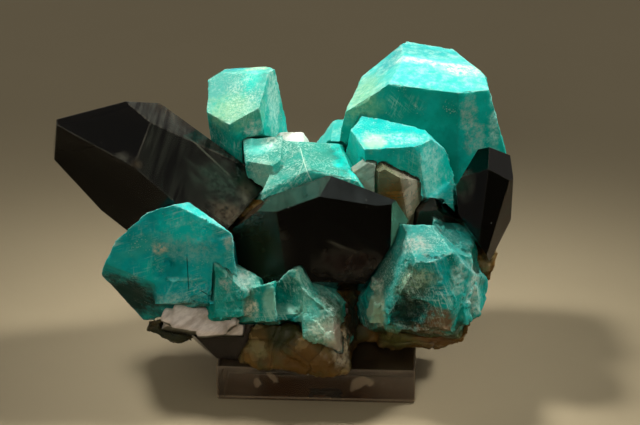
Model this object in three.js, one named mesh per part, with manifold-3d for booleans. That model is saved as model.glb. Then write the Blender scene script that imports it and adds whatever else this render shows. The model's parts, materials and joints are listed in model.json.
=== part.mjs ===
// Rough amazonite on a clear block: a matrix specimen of teal amazonite crystals, smoky quartz
// crystals and pale albite, grown together on feldspar rock, resting on an acrylic display block.
// Millimetres, +Z up, +X to the viewer's right, +Y away from the viewer. The origin is the middle
// of the block's underside.
//
// Every crystal is given as its natural faces: each face looks along a compass bearing (degrees
// anticlockwise from +X) and a rise (degrees above the horizon), and lies at a reach (mm) from the
// crystal's heart. The solid is what lies behind all its faces.
import * as THREE from 'three';
import { ConvexGeometry } from 'three/addons/geometries/ConvexGeometry.js';
import { mergeVertices } from 'three/addons/utils/BufferGeometryUtils.js';
import Module from 'manifold-3d';

const wasm = await Module();
wasm.setup();

// ---- driving dimensions ------------------------------------------------------------------------
const BLOCK = { width: 80, depth: 80, height: 15 };  // a common size of acrylic display block
const SEAM = 0.3;                                     // parting left between neighbouring crystals
const REST = BLOCK.height + SEAM;                     // height of the rock's resting face

// Down is the bearing and rise of a face that looks straight down. A foot whose reach is the
// height of its crystal's heart less REST lies just on the block.
const DOWN = [0, -90];

// ---- amazonite ---------------------------------------------------------------------------------
const LEFT_TOWER = {
  heart: [-32, 18, 101],
  faces: {
    slope: [245, 55, 12],
    top: [115, 80, 17.5],
    right: [345, 5, 11.5],
    front: [290, -5, 14],
    frontLeft: [230, -10, 15.5],
    side: [180, -5, 14.5],
    shoulder: [155, 55, 20],
    backRight: [35, 15, 19],
    back: [90, 5, 16],
    backLeft: [135, 0, 18],
    foot: [...DOWN, 40],
  },
};

const CROWN = {
  heart: [44, 35, 97.5],
  faces: {
    top: [30, 82, 22],
    slope: [295, 75, 22],
    left: [180, 55, 26],
    front: [270, 5, 22.5],
    frontRight: [290, 5, 25],
    right: [5, 15, 26],
    topRight: [25, 40, 25.5],
    topLeft: [150, 40, 29.5],
    side: [170, 10, 31.5],
    underRight: [0, -20, 40],
    underBack: [85, -42, 27.5],
    underLeft: [150, -30, 38],
    back: [85, 8, 24],
    backRight: [45, 5, 30],
    backLeft: [130, 5, 30],
    foot: [...DOWN, 34],
  },
};

const CROWN_LEDGE = {
  heart: [9, 24, 84],
  faces: {
    top: [250, 75, 9],
    front: [265, 0, 9],
    left: [185, 30, 9],
    right: [0, 0, 14],
    back: [90, 20, 10],
    foot: [...DOWN, 30],
  },
};

const RIGHT_BLOCK = {
  heart: [32, 4, 86],
  faces: {
    top: [280, 75, 14.5],
    front: [280, 0, 10.5],
    right: [315, 5, 13],
    shoulder: [10, 45, 18],
    left: [205, -5, 17.5],
    backLeft: [160, 20, 23],
    back: [75, 10, 8],
    foot: [...DOWN, 34],
  },
};

const RIGHT_LEDGE = {
  heart: [50, 0, 68],
  faces: {
    top: [265, 70, 8],
    front: [272, 0, 7],
    left: [190, 0, 5.5],
    right: [355, 5, 5.5],
    back: [90, 5, 5],
    foot: [...DOWN, 20],
  },
};

const CENTRE_BLOCK = {
  heart: [-3, 8, 80.5],
  faces: {
    right: [320, 75, 15],
    left: [225, 60, 18.5],
    bevel: [10, 35, 16],
    top: [85, 65, 12],
    side: [155, -10, 6.5],
    back: [90, 15, 14],
    front: [270, 20, 26],
    underFront: [270, -42, 26],
    foot: [...DOWN, 24],
  },
};

const CENTRE_KNOB = {
  heart: [-23, 3, 90.5],
  faces: {
    top: [250, 70, 5],
    front: [250, -5, 12],
    side: [185, -5, 8],
    right: [310, 0, 14],
    shoulder: [105, 60, 6.5],
    back: [90, 10, 12],
    end: [0, 0, 8],
    foot: [0, -60, 20],
  },
};

const FRONT_LEFT_CRYSTAL = {
  heart: [-58, -28, 60],
  faces: {
    front: [265, 10, 13.5],
    underFront: [250, -30, 17],
    slope: [335, 65, 26],
    topLeft: [150, 40, 16.5],
    shoulder: [170, 25, 21.5],
    underLeft: [205, -35, 27.5],
    side: [185, 0, 30],
    top: [120, 55, 16],
    backRight: [40, 40, 18.5],
    right: [5, 5, 25.5],
    back: [90, 15, 16],
    foot: [300, -60, 24],
  },
};

const FRONT_LEFT_STEP = {
  heart: [-51, -32, 48],
  faces: {
    front: [270, 10, 13],
    top: [230, 85, 8.5],
    left: [190, 0, 14.5],
    right: [345, 10, 14],
    foot: [270, -60, 9],
    back: [90, 0, 16],
  },
};

const STEP_WEDGE = {
  heart: [-35, -38, 49],
  faces: {
    top: [315, 50, 10.5],
    front: [260, 15, 8.5],
    frontRight: [315, 5, 12],
    left: [200, 5, 7],
    topBack: [45, 50, 10],
    right: [5, 10, 13.5],
    back: [90, 0, 14],
    foot: [280, -60, 11.5],
  },
};

const STEP_CUBE = {
  heart: [-21, -40, 45],
  faces: {
    front: [270, 10, 7],
    top: [125, 57, 5.8],
    leftFront: [225, 5, 7],
    left: [195, 0, 8],
    right: [0, 5, 6],
    back: [90, 0, 12],
    foot: [270, -60, 8.5],
  },
};

const STEP_TREAD = {
  heart: [-11, -42, 40],
  faces: {
    front: [275, 5, 2],
    top: [245, 85, 2],
    left: [195, 0, 6],
    right: [350, 5, 6],
    back: [90, 0, 12],
    foot: [270, -60, 2.5],
  },
};

const STEP_SPIRE = {
  heart: [-4, -32, 43],
  faces: {
    left: [240, 10, 10.5],
    right: [330, 25, 7],
    top: [155, 80, 15.5],
    topLeft: [150, 40, 11.5],
    front: [295, 10, 10.5],
    side: [170, 25, 13.5],
    back: [90, 0, 12],
    footLeft: [215, -40, 9.5],
    foot: [270, -60, 15],
    topRight: [15, 25, 4.5],
  },
};

const STEP_FLANK = {
  heart: [4, -38, 40],
  faces: {
    front: [280, 25, 7],
    topRight: [350, 50, 4],
    right: [345, 8, 5],
    left: [190, 0, 10],
    back: [90, 0, 12],
    underFront: [280, -35, 13],
    foot: [...DOWN, 18],
  },
};

const FRONT_RIGHT_CRYSTAL = {
  heart: [43, -30, 53],
  faces: {
    top: [265, 70, 18],
    front: [270, 5, 16.5],
    left: [205, 25, 14.5],
    shoulder: [175, 25, 18],
    side: [205, -5, 21],
    right: [15, 40, 16],
    frontRight: [300, 10, 17],
    topBack: [85, 60, 19.5],
    back: [90, 10, 22],
    underRight: [340, -10, 18.5],
    underFront: [262, -55, 22],
    foot: [...DOWN, 28],
  },
};

const RIGHT_LOBE = {
  heart: [60, -18, 44],
  faces: {
    front: [295, 5, 10.5],
    right: [355, 10, 5],
    top: [350, 60, 15.5],
    underFront: [310, -40, 15],
    back: [90, 5, 13.5],
    left: [180, 0, 14],
    backRight: [15, 15, 8],
    underRight: [345, -35, 12],
    foot: [300, -60, 14.5],
  },
};

// ---- smoky quartz ------------------------------------------------------------------------------
const LEFT_QUARTZ = {
  heart: [-68, 1, 87.5],
  faces: {
    prismTop: [0, 65, 15],
    prismFront: [310, 55, 14],
    prismUnder: [240, -10, 21],
    prismBelow: [195, -55, 28.5],
    tip: [280, 65, 15.5],
    tipEnd: [190, 5, 39.5],
    tipUnder: [200, -40, 29.5],
    tipBack: [120, 40, 24],
    prismBack: [50, 20, 21.5],
    back: [90, -15, 20],
    backUnder: [120, -45, 20],
    root: [343, -36, 42],
  },
};

const CENTRE_QUARTZ = {
  heart: [5, -20, 67],
  faces: {
    prismTop: [200, 70, 22],
    tipTop: [305, 70, 22],
    prismFront: [275, 5, 13.5],
    tipFront: [295, 10, 20],
    tipRight: [330, 5, 26.5],
    tipUnder: [345, -30, 23.4],
    prismLeft: [240, 0, 22.5],
    prismBack: [115, 40, 17],
    tipBack: [65, 35, 14.5],
    under: [270, -50, 21.5],
    tailTop: [170, 47, 27],
    back: [90, -5, 20],
    root: [180, 0, 39],
    foot: [...DOWN, 24],
  },
};

const RIGHT_QUARTZ = {
  heart: [68, -6, 76],
  faces: {
    prismLeft: [240, 15, 14.5],
    prismFront: [295, 10, 13],
    taperRight: [330, -5, 10],
    taperBack: [350, -25, 12],
    tipLeft: [200, 55, 17.5],
    tipRight: [340, 50, 16],
    shoulder: [165, 25, 13.5],
    side: [185, -5, 13],
    taperLeft: [200, -30, 14],
    prismRight: [5, 0, 9],
    prismBack: [90, 0, 14],
    tipBack: [85, 45, 17],
    root: [215, -65, 45],
  },
};

const SMALL_QUARTZ = {
  heart: [46, -8, 69],
  faces: {
    prismFront: [265, -5, 4.5],
    prismRight: [315, 5, 6.5],
    tipFront: [255, 60, 6.5],
    tipRight: [345, 45, 5.5],
    tipLeft: [180, 45, 6.5],
    prismLeft: [195, 10, 7],
    tipBack: [90, 50, 6.5],
    prismBack: [90, -5, 8],
    foot: [...DOWN, 22],
  },
};

const BROWN_QUARTZ = {
  heart: [30, -6, 77],
  faces: {
    prismFront: [265, -5, 5.5],
    prismRight: [320, 5, 7],
    prismLeft: [205, 0, 8],
    tipLeft: [205, 55, 15],
    tipRight: [5, 60, 10],
    back: [85, -5, 6],
    foot: [...DOWN, 22],
  },
};

const PALE_BLADE = {
  heart: [20, -6, 84],
  faces: {
    front: [265, 5, 4],
    left: [200, 20, 8],
    tip: [200, 50, 7.5],
    top: [10, 75, 8],
    right: [350, 0, 3],
    back: [90, 0, 1.5],
    foot: [...DOWN, 20],
  },
};

const UNDER_QUARTZ = {
  heart: [-36, -22, 27],
  faces: {
    prismFront: [262, 5, 11],
    prismLeft: [205, 10, 15],
    tipLeft: [215, -35, 15],
    prismTop: [270, 65, 11],
    right: [0, 0, 18],
    back: [90, 0, 14],
    foot: [...DOWN, 27 - REST],
  },
};

// ---- albite and feldspar rock ------------------------------------------------------------------
const PLATES = [
  {
    heart: [-47, -33, 36],
    faces: {
      broad: [262, 40, 7],
      left: [190, 5, 10],
      right: [350, 0, 9],
      lower: [262, -60, 8],
      back: [90, 0, 10],
      top: [90, 80, 6],
    },
  },
  {
    heart: [-54, -31, 32],
    faces: {
      broad: [250, 30, 6],
      left: [180, 20, 6],
      right: [20, 0, 9],
      lower: [255, -55, 5],
      back: [90, 0, 10],
      top: [90, 75, 6],
    },
  },
  {
    heart: [-34, -33, 31],
    faces: {
      broad: [275, 45, 6],
      left: [180, 0, 9],
      right: [350, -5, 5],
      lower: [270, -60, 5],
      back: [90, 0, 10],
      top: [90, 75, 7],
    },
  },
];

const CHIP = {
  heart: [-12, 9, 94],
  faces: {
    broad: [262, 76, 1],
    front: [270, 0, 3],
    left: [190, 30, 5],
    right: [350, 25, 4.5],
    back: [90, 10, 4],
    foot: [...DOWN, 3],
  },
};

const ROCK = {
  core: {
    heart: [0, 6, 48],
    faces: {
      front: [270, 0, 24],
      frontLeft: [225, 15, 42],
      frontRight: [318, 12, 44],
      left: [182, -12, 46],
      right: [2, -8, 42],
      back: [88, 12, 30],
      backLeft: [140, 20, 46],
      backRight: [40, 18, 48],
      topFront: [270, 50, 20],
      top: [95, 82, 33],
      topLeft: [190, 55, 46],
      topRight: [350, 60, 47],
      underLeft: [190, -45, 44],
      underRight: [350, -48, 42],
      underBack: [90, -52, 34],
      foot: [...DOWN, 48 - REST],
    },
  },
  frontLump: {
    heart: [-4, -30, 27],
    faces: {
      front: [268, 12, 16],
      frontRight: [312, 14, 17.5],
      frontLeft: [230, 20, 18],
      left: [200, 20, 22],
      right: [355, 5, 17],
      top: [285, 60, 13],
      underFront: [265, -42, 19],
      back: [90, 0, 16],
      foot: [...DOWN, 27 - REST],
    },
  },
  frontShoulder: {
    heart: [6, -28, 36],
    faces: {
      slope: [295, 40, 7],
      top: [330, 55, 9],
      front: [280, 10, 6],
      right: [345, 15, 7.5],
      left: [200, 0, 14],
      back: [90, 0, 14],
      foot: [...DOWN, 10],
    },
  },
  rightLump: {
    heart: [44, -20, 28],
    faces: {
      front: [270, 8, 10],
      underFront: [268, -32, 9.5],
      frontLeft: [222, -10, 18],
      frontRight: [320, -12, 17],
      right: [355, -8, 17],
      left: [182, 0, 20],
      top: [270, 65, 14],
      back: [90, 10, 20],
      foot: [...DOWN, 28 - REST],
    },
  },
  leftRoot: {
    heart: [-56, -18, 30],
    faces: {
      front: [258, -8, 10],
      left: [190, -10, 15.5],
      underLeft: [205, -60, 15],
      under: [320, -62, 14],
      top: [200, 60, 14],
      right: [0, 0, 20],
      back: [85, -10, 16],
    },
  },
  leftWedge: {
    heart: [-30, -6, 66],
    faces: {
      front: [262, 15, 12],
      top: [255, 70, 9],
      left: [200, 10, 20],
      right: [345, 30, 16],
      back: [90, 10, 7],
      foot: [...DOWN, 20],
    },
  },
  rightRoot: {
    heart: [58, 2, 46],
    faces: {
      front: [280, 5, 9],
      right: [0, -10, 13],
      top: [20, 50, 11],
      under: [350, -55, 13],
      left: [180, 25, 9],
      back: [85, 15, 16],
      backRight: [45, 10, 16],
      foot: [...DOWN, 18],
    },
  },
  backStep: {
    heart: [-18, 28, 38],
    faces: {
      back: [98, 4, 16],
      backLeft: [142, 28, 20],
      backRight: [48, 22, 22],
      left: [186, 6, 20],
      right: [8, 2, 24],
      top: [110, 72, 17],
      front: [270, 0, 12],
      underBack: [105, -46, 19],
      foot: [...DOWN, 18],
    },
  },
  backLedge: {
    heart: [28, 26, 52],
    faces: {
      back: [80, -6, 18],
      backLeft: [128, 30, 20],
      corner: [36, 24, 24],
      left: [178, 8, 20],
      right: [2, 12, 24],
      top: [60, 74, 18],
      front: [270, 0, 12],
      underBack: [70, -45, 19],
      foot: [...DOWN, 28],
    },
  },
  backKnob: {
    heart: [0, 30, 60],
    faces: {
      back: [94, 18, 15],
      left: [172, 24, 16],
      right: [20, 15, 14],
      top: [95, 70, 13],
      front: [270, 0, 12],
      foot: [...DOWN, 20],
    },
  },
};

// ---- finishes ----------------------------------------------------------------------------------
const FINISH = {
  amazonite: { color: 0x1fae9f, roughness: 0.45, metalness: 0 },
  smokyQuartz: { color: 0x1d1a16, roughness: 0.08, metalness: 0 },
  brownQuartz: { color: 0x6b5426, roughness: 0.2, metalness: 0 },
  albite: { color: 0xd9cbc4, roughness: 0.5, metalness: 0 },
  rock: { color: 0x8f7440, roughness: 0.6, metalness: 0 },
  acrylic: { color: 0xe4e6e2, roughness: 0.05, metalness: 0 },
};

// ---- building blocks ---------------------------------------------------------------------------

/** The outward direction of a face that looks along a bearing and a rise, both in degrees. */
function facing(bearing, rise) {
  const turn = THREE.MathUtils.degToRad(bearing);
  const lift = THREE.MathUtils.degToRad(rise);
  return new THREE.Vector3(
    Math.cos(turn) * Math.cos(lift),
    Math.sin(turn) * Math.cos(lift),
    Math.sin(lift),
  );
}

/** A crystal's faces as planes, each moved outwards by grown mm. */
function facePlanes({ heart, faces }, grown) {
  const middle = new THREE.Vector3(...heart);
  return Object.values(faces).map(([bearing, rise, reach]) => {
    const normal = facing(bearing, rise);
    return { normal, distance: normal.dot(middle) + reach + grown };
  });
}

/** The point where three planes meet, or null where they don't meet in one point. */
function meeting(a, b, c) {
  const MIN_SPREAD = 1e-4;
  const bc = b.normal.clone().cross(c.normal);
  const spread = a.normal.dot(bc);
  if (Math.abs(spread) < MIN_SPREAD) return null;
  return bc.multiplyScalar(a.distance)
    .add(c.normal.clone().cross(a.normal).multiplyScalar(b.distance))
    .add(a.normal.clone().cross(b.normal).multiplyScalar(c.distance))
    .divideScalar(spread);
}

/** The corners of the space behind all the planes. */
function corners(planes) {
  const TOUCH = 1e-6;
  const found = [];
  for (let i = 0; i < planes.length; i++) {
    for (let j = i + 1; j < planes.length; j++) {
      for (let k = j + 1; k < planes.length; k++) {
        const point = meeting(planes[i], planes[j], planes[k]);
        if (point && planes.every((p) => p.normal.dot(point) <= p.distance + TOUCH)) {
          found.push(point);
        }
      }
    }
  }
  return found;
}

/** A closed geometry as a solid that can be joined and cut. */
function solidOf(geometry) {
  geometry.deleteAttribute('normal');
  geometry.deleteAttribute('uv');
  const merged = mergeVertices(geometry, 1e-4);
  return new wasm.Manifold(new wasm.Mesh({
    numProp: 3,
    vertProperties: new Float32Array(merged.attributes.position.array),
    triVerts: new Uint32Array(merged.index.array),
  }));
}

/** The solid of one crystal, all its faces moved outwards by grown mm. */
function crystal(shape, grown = 0) {
  return solidOf(new ConvexGeometry(corners(facePlanes(shape, grown))));
}

/** Crystals that run into each other, as one solid. */
function intergrown(shapes) {
  return shapes.map((shape) => crystal(shape)).reduce((whole, next) => whole.add(next));
}

/** A solid with room cut out of it for its neighbours, a seam's width clear of them. */
function partedFrom(solid, neighbours) {
  return neighbours.reduce((rest, shape) => rest.subtract(crystal(shape, SEAM)), solid);
}

/** A named mesh of a finished solid. */
function piece(name, solid, finish) {
  const { vertProperties, triVerts } = solid.getMesh();
  const geometry = new THREE.BufferGeometry();
  geometry.setAttribute('position', new THREE.BufferAttribute(vertProperties, 3));
  geometry.setIndex(new THREE.BufferAttribute(triVerts, 1));
  geometry.computeVertexNormals();
  const mesh = new THREE.Mesh(geometry, new THREE.MeshStandardMaterial(finish));
  mesh.name = name;
  return mesh;
}

/** The clear block that the specimen rests on. */
function acrylicBase() {
  const mesh = new THREE.Mesh(
    new THREE.BoxGeometry(BLOCK.width, BLOCK.depth, BLOCK.height),
    new THREE.MeshStandardMaterial(FINISH.acrylic),
  );
  mesh.position.z = BLOCK.height / 2;
  mesh.name = 'acrylic_base';
  return mesh;
}

// ---- the specimen ------------------------------------------------------------------------------
// From the front of the specimen to its back: each piece is cut to fit those before it.
const PIECES = [
  ['amazonite_front_steps', [STEP_WEDGE, STEP_CUBE, STEP_TREAD, STEP_SPIRE, STEP_FLANK],
    FINISH.amazonite],
  ['amazonite_front_left', [FRONT_LEFT_CRYSTAL, FRONT_LEFT_STEP], FINISH.amazonite],
  ['amazonite_front_right', [FRONT_RIGHT_CRYSTAL, RIGHT_LOBE], FINISH.amazonite],
  ['smoky_quartz_small', [SMALL_QUARTZ], FINISH.smokyQuartz],
  ['smoky_quartz_centre', [CENTRE_QUARTZ], FINISH.smokyQuartz],
  ['smoky_quartz_right', [RIGHT_QUARTZ], FINISH.smokyQuartz],
  ['smoky_quartz_brown', [BROWN_QUARTZ], FINISH.brownQuartz],
  ['smoky_quartz_left', [LEFT_QUARTZ], FINISH.smokyQuartz],
  ['albite_chip', [CHIP], FINISH.albite],
  ['albite_blade', [PALE_BLADE], FINISH.albite],
  ['amazonite_right_block', [RIGHT_BLOCK, RIGHT_LEDGE], FINISH.amazonite],
  ['amazonite_centre_block', [CENTRE_BLOCK, CENTRE_KNOB], FINISH.amazonite],
  ['amazonite_left_tower', [LEFT_TOWER], FINISH.amazonite],
  ['amazonite_crown', [CROWN, CROWN_LEDGE], FINISH.amazonite],
  ['albite_plates', PLATES, FINISH.albite],
  ['smoky_quartz_under', [UNDER_QUARTZ], FINISH.smokyQuartz],
  ['albite_matrix', Object.values(ROCK), FINISH.rock],
];

const specimen = new THREE.Group();
const placed = [];
for (const [name, shapes, finish] of PIECES) {
  specimen.add(piece(name, partedFrom(intergrown(shapes), placed), finish));
  placed.push(...shapes);
}

const part = new THREE.Group();
part.add(acrylicBase(), specimen);

export default part;
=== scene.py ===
"""Rough amazonite on a clear block.

A cabinet specimen: blocky teal amazonite, dark smoky quartz and pale albite, grown together on
feldspar rock, which rests on a clear acrylic block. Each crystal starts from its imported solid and
gets its growth steps, worn edges, pits and finish here.

Metres, +Z up, +Y away from the viewer. Sizes and places on the specimen are written in
millimetres, and MM brings them to metres. Lamps and camera are placed in metres.
"""

import json
import math

import bpy
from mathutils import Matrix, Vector

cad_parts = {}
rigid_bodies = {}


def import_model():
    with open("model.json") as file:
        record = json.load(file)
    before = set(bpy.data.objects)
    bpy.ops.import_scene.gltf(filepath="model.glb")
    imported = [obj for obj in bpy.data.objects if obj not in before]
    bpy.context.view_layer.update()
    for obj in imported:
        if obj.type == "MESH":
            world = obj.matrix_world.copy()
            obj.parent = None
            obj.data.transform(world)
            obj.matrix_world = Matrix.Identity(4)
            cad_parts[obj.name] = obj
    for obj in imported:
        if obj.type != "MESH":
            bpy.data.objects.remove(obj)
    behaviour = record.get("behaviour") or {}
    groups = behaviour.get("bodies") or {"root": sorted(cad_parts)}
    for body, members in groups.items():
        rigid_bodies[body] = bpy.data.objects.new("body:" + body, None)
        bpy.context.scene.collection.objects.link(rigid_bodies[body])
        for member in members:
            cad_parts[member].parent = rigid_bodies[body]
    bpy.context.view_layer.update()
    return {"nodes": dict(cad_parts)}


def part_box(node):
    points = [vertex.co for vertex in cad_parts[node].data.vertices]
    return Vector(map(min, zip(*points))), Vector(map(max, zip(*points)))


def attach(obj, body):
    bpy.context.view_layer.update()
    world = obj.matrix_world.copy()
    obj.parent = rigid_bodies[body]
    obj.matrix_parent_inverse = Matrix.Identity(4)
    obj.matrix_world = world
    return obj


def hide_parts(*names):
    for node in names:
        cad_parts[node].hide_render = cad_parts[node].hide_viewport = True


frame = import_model()

MM = 0.001
FACET = 12  # a crystal's faces meet at more than this many degrees


# ---- at the bench ------------------------------------------------------------------------------

def linear(hex_colour):
    """The linear colour, with alpha, of an sRGB hex value such as "1fae9f"."""
    parts = [int(hex_colour[i:i + 2], 16) / 255 for i in (0, 2, 4)]
    return [c / 12.92 if c <= 0.04045 else ((c + 0.055) / 1.055) ** 2.4 for c in parts] + [1.0]


def add(tree, kind, *feeds, at=None, **settings):
    """Adds a node. settings are its properties. feeds go to its live inputs in their order, and
    at gives more inputs by name. A feed is a value, or the socket or node that it comes from.
    A Map Range takes its value, the range that this comes from and the range it goes to."""
    node = tree.nodes.new(kind if "Node" in kind else "ShaderNode" + kind)
    for name, value in settings.items():
        setattr(node, name, value)
    live = [socket for socket in node.inputs if socket.enabled]
    named = [(node.inputs[name], feed) for name, feed in (at or {}).items()]
    for socket, feed in [*zip(live, feeds), *named]:
        if isinstance(feed, bpy.types.Node):
            feed = next(output for output in feed.outputs if output.enabled)
        if isinstance(feed, bpy.types.NodeSocket):
            tree.links.new(feed, socket)
        else:
            socket.default_value = feed
    return node


def take_up(piece):
    """Makes a piece the only selected and active object."""
    bpy.ops.object.select_all(action="DESELECT")
    piece.select_set(True)
    bpy.context.view_layer.objects.active = piece


def finish_with(piece, kind, **settings):
    """Adds a modifier to a piece and applies it."""
    take_up(piece)
    bpy.ops.object.modifier_add(type=kind)
    modifier = piece.modifiers[-1]
    for name, value in settings.items():
        setattr(modifier, name, value)
    bpy.ops.object.modifier_apply(modifier=modifier.name)


def wear_edges(piece, wear, sharp=30):
    """Rounds a piece by wear mm along the edges where it turns by more than sharp degrees."""
    finish_with(piece, "BEVEL", width=wear * MM, segments=2, limit_method="ANGLE",
                angle_limit=math.radians(sharp))


def solid_copy(node, name):
    """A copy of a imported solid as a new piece, its doubles merged and its flat faces whole."""
    piece = bpy.data.objects.new(name, frame["nodes"][node].data.copy())
    bpy.context.scene.collection.objects.link(piece)
    piece.data.materials.clear()
    take_up(piece)
    bpy.ops.object.mode_set(mode="EDIT")
    bpy.ops.mesh.select_all(action="SELECT")
    bpy.ops.mesh.remove_doubles(threshold=0.01 * MM)
    bpy.ops.mesh.dissolve_limited(angle_limit=math.radians(1.0))
    bpy.ops.object.mode_set(mode="OBJECT")
    return piece


def plain_block(centre, size, turn=(0, 0, 0)):
    """A block with sharp edges: its centre and size in metres, turned by degrees."""
    bpy.ops.object.select_all(action="DESELECT")
    bpy.ops.mesh.primitive_cube_add(size=1, location=centre, scale=size,
                                    rotation=[math.radians(angle) for angle in turn])
    bpy.ops.object.transform_apply(location=True, rotation=True, scale=True)
    return bpy.context.object


def lump(centre, size, turn, wear=0.6):
    """A small cleaved block, turned by degrees. Its centre, size and edge wear are in mm."""
    block = plain_block(Vector(centre) * MM, Vector(size) * MM, turn)
    wear_edges(block, wear)
    return block


def break_out(piece, blocks):
    """Cuts lumps out of a piece, as where a cleaved block has come away."""
    for block in blocks:
        cutter = lump(*block)
        finish_with(piece, "BOOLEAN", object=cutter, operation="DIFFERENCE", solver="EXACT",
                    use_self=True)
        bpy.data.objects.remove(cutter)


def grow_on(piece, blocks):
    """Joins lumps to a piece. They become one body when the skin is laid."""
    if not blocks:
        return
    lumps = [lump(*block) for block in blocks]
    take_up(piece)
    for block in lumps:
        block.select_set(True)
    bpy.ops.object.join()


def drop_crumbs(piece):
    """Deletes the loose crumbs that a remesh can leave: all that isn't joined to the top."""
    take_up(piece)
    heights = [vertex.co.z for vertex in piece.data.vertices]
    top = heights.index(max(heights))
    bpy.ops.object.mode_set(mode="EDIT")
    bpy.ops.mesh.select_all(action="DESELECT")
    bpy.ops.object.mode_set(mode="OBJECT")
    piece.data.vertices[top].select = True
    bpy.ops.object.mode_set(mode="EDIT")
    bpy.ops.mesh.select_linked()
    bpy.ops.mesh.select_all(action="INVERT")
    bpy.ops.mesh.delete(type="VERT")
    bpy.ops.object.mode_set(mode="OBJECT")


def even_skin(piece, wear, grid, weathered=0):
    """Rounds a piece's edges by wear mm, then lays an even grid of faces, grid mm apart, that
    still lies on its flat crystal faces. Rounds of weathering then soften its whole form."""
    wear_edges(piece, wear, FACET)
    flats = bpy.data.objects.new(piece.name + "_flats", piece.data.copy())
    bpy.context.scene.collection.objects.link(flats)
    finish_with(piece, "REMESH", mode="VOXEL", voxel_size=grid * MM)
    drop_crumbs(piece)
    finish_with(piece, "SHRINKWRAP", target=flats)
    finish_with(piece, "SMOOTH", factor=0.5, iterations=weathered)
    bpy.data.objects.remove(flats)


def set_down(piece, node, material, smooth_angle=40):
    """Gives a piece its material and puts it in its solid's stead on the specimen."""
    piece.data.materials.append(material)
    take_up(piece)
    bpy.ops.object.shade_smooth_by_angle(angle=math.radians(smooth_angle))
    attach(piece, "root")
    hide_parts(node)


# ---- natural patterns, for shapes and for colours ----------------------------------------------
# Each is made in a node tree at a place, which is a position in metres, and gives 0 to 1.

def in_crystal(tree, place, turn, stretch=(1, 1, 1)):
    """The place in a crystal's own axes: turned by degrees, then stretched."""
    own = add(tree, "VectorRotate", rotation_type="EULER_XYZ",
              at={"Vector": place, "Rotation": [math.radians(angle) for angle in turn]})
    return add(tree, "VectorMath", own, stretch, operation="MULTIPLY")


def clouds(tree, place, size, detail=3.0, roughness=0.55):
    """Cloudy change around 0.5, each cloud about size mm across."""
    return add(tree, "TexNoise", at={"Vector": place, "Scale": 1 / (size * MM),
                                     "Detail": detail, "Roughness": roughness})


def patches(tree, place, size, share, rim, detail=5.0, roughness=0.6):
    """Ragged patches about size mm across on a share of the surface, with a soft rim."""
    mist = clouds(tree, place, size, detail, roughness)
    edge = 0.5 + 0.36 * (0.5 - share)  # nearly all of the mist lies within 0.18 of 0.5
    return add(tree, "MapRange", mist, edge - rim / 2, edge + rim / 2, 0.0, 1.0,
               interpolation_type="SMOOTHSTEP")


def grains(tree, place, size, reach, share):
    """Small round grains, size mm apart, that fill a reach (0 to 1) of the way between them, on a
    share of their places."""
    cells = add(tree, "TexVoronoi", at={"Vector": place, "Scale": 1 / (size * MM)})
    dots = add(tree, "MapRange", cells.outputs["Distance"], 0.35 * reach, 0.55 * reach, 1.0, 0.0,
               interpolation_type="SMOOTHSTEP")
    chance = add(tree, "SeparateXYZ", cells.outputs["Color"])
    return both(tree, dots, add(tree, "Math", chance, share, operation="LESS_THAN"))


def cracks(tree, place, size, width):
    """Cracks width mm wide between grains about size mm across."""
    cells = add(tree, "TexVoronoi", feature="DISTANCE_TO_EDGE",
                at={"Vector": place, "Scale": 1 / (size * MM)})
    reach = 0.5 * width / size
    return add(tree, "MapRange", cells, 0.4 * reach, reach, 1.0, 0.0,
               interpolation_type="SMOOTHSTEP")


def cleavage(tree, place, size, looseness=0.8):
    """Blocky cleavage: straight-edged cells about size mm across, each at its own level."""
    cells = add(tree, "TexVoronoi", distance="CHEBYCHEV", at={
        "Vector": place, "Scale": 1 / (size * MM), "Randomness": looseness})
    return add(tree, "SeparateXYZ", cells.outputs["Color"])


def spot(tree, place, centre, radii, soft=0.35, ragged=0.5, size=5.0):
    """One patch: centre and radii in mm. Its rim is soft and wanders, both in radii, in waves
    about size mm across."""
    away = add(tree, "VectorMath", place, [c * MM for c in centre], operation="SUBTRACT")
    shrunk = add(tree, "VectorMath", away, [1 / (r * MM) for r in radii], operation="MULTIPLY")
    far = add(tree, "VectorMath", shrunk, operation="LENGTH")
    waves = clouds(tree, place, size, detail=6.0, roughness=0.65)
    wander = add(tree, "Math", waves, 4 * ragged, far, operation="MULTIPLY_ADD")
    rim = 1 + 2 * ragged  # the waves lie around 0.5, so they add twice ragged to the distance
    return add(tree, "MapRange", wander, rim - soft, rim + soft, 1.0, 0.0,
               interpolation_type="SMOOTHSTEP")


def vein(tree, place, centre, across, width, reach):
    """One thin straight line on a face: its centre, width and reach in mm, and the direction
    across it."""
    away = add(tree, "VectorMath", place, [c * MM for c in centre], operation="SUBTRACT")
    off = add(tree, "VectorMath", away, Vector(across).normalized(), operation="DOT_PRODUCT")
    line = add(tree, "MapRange", add(tree, "Math", off, operation="ABSOLUTE"),
               0.25 * width * MM, 0.6 * width * MM, 1.0, 0.0)
    near = add(tree, "MapRange", add(tree, "VectorMath", away, operation="LENGTH"),
               0.7 * reach * MM, reach * MM, 1.0, 0.0)
    return both(tree, line, near)


def both(tree, *patterns):
    """Where all the patterns are: their product. A bare number weakens the others."""
    result = patterns[0]
    for pattern in patterns[1:]:
        result = add(tree, "Math", result, pattern, operation="MULTIPLY")
    return result


def coat(tree, colour, hex_colour, *patterns):
    """A colour laid over another where the patterns are."""
    return add(tree, "Mix", both(tree, *patterns), colour, linear(hex_colour), data_type="RGBA")


def dab(tree, place, colour, dabs, *patterns, **rim):
    """Lays spots over a colour, where the patterns are. Each is a colour, how strong it is, and
    its centre and radii in mm. rim is handed on to spot."""
    for hex_colour, strength, centre, radii in dabs:
        colour = coat(tree, colour, hex_colour, spot(tree, place, centre, radii, **rim), *patterns,
                      strength)
    return colour


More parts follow.
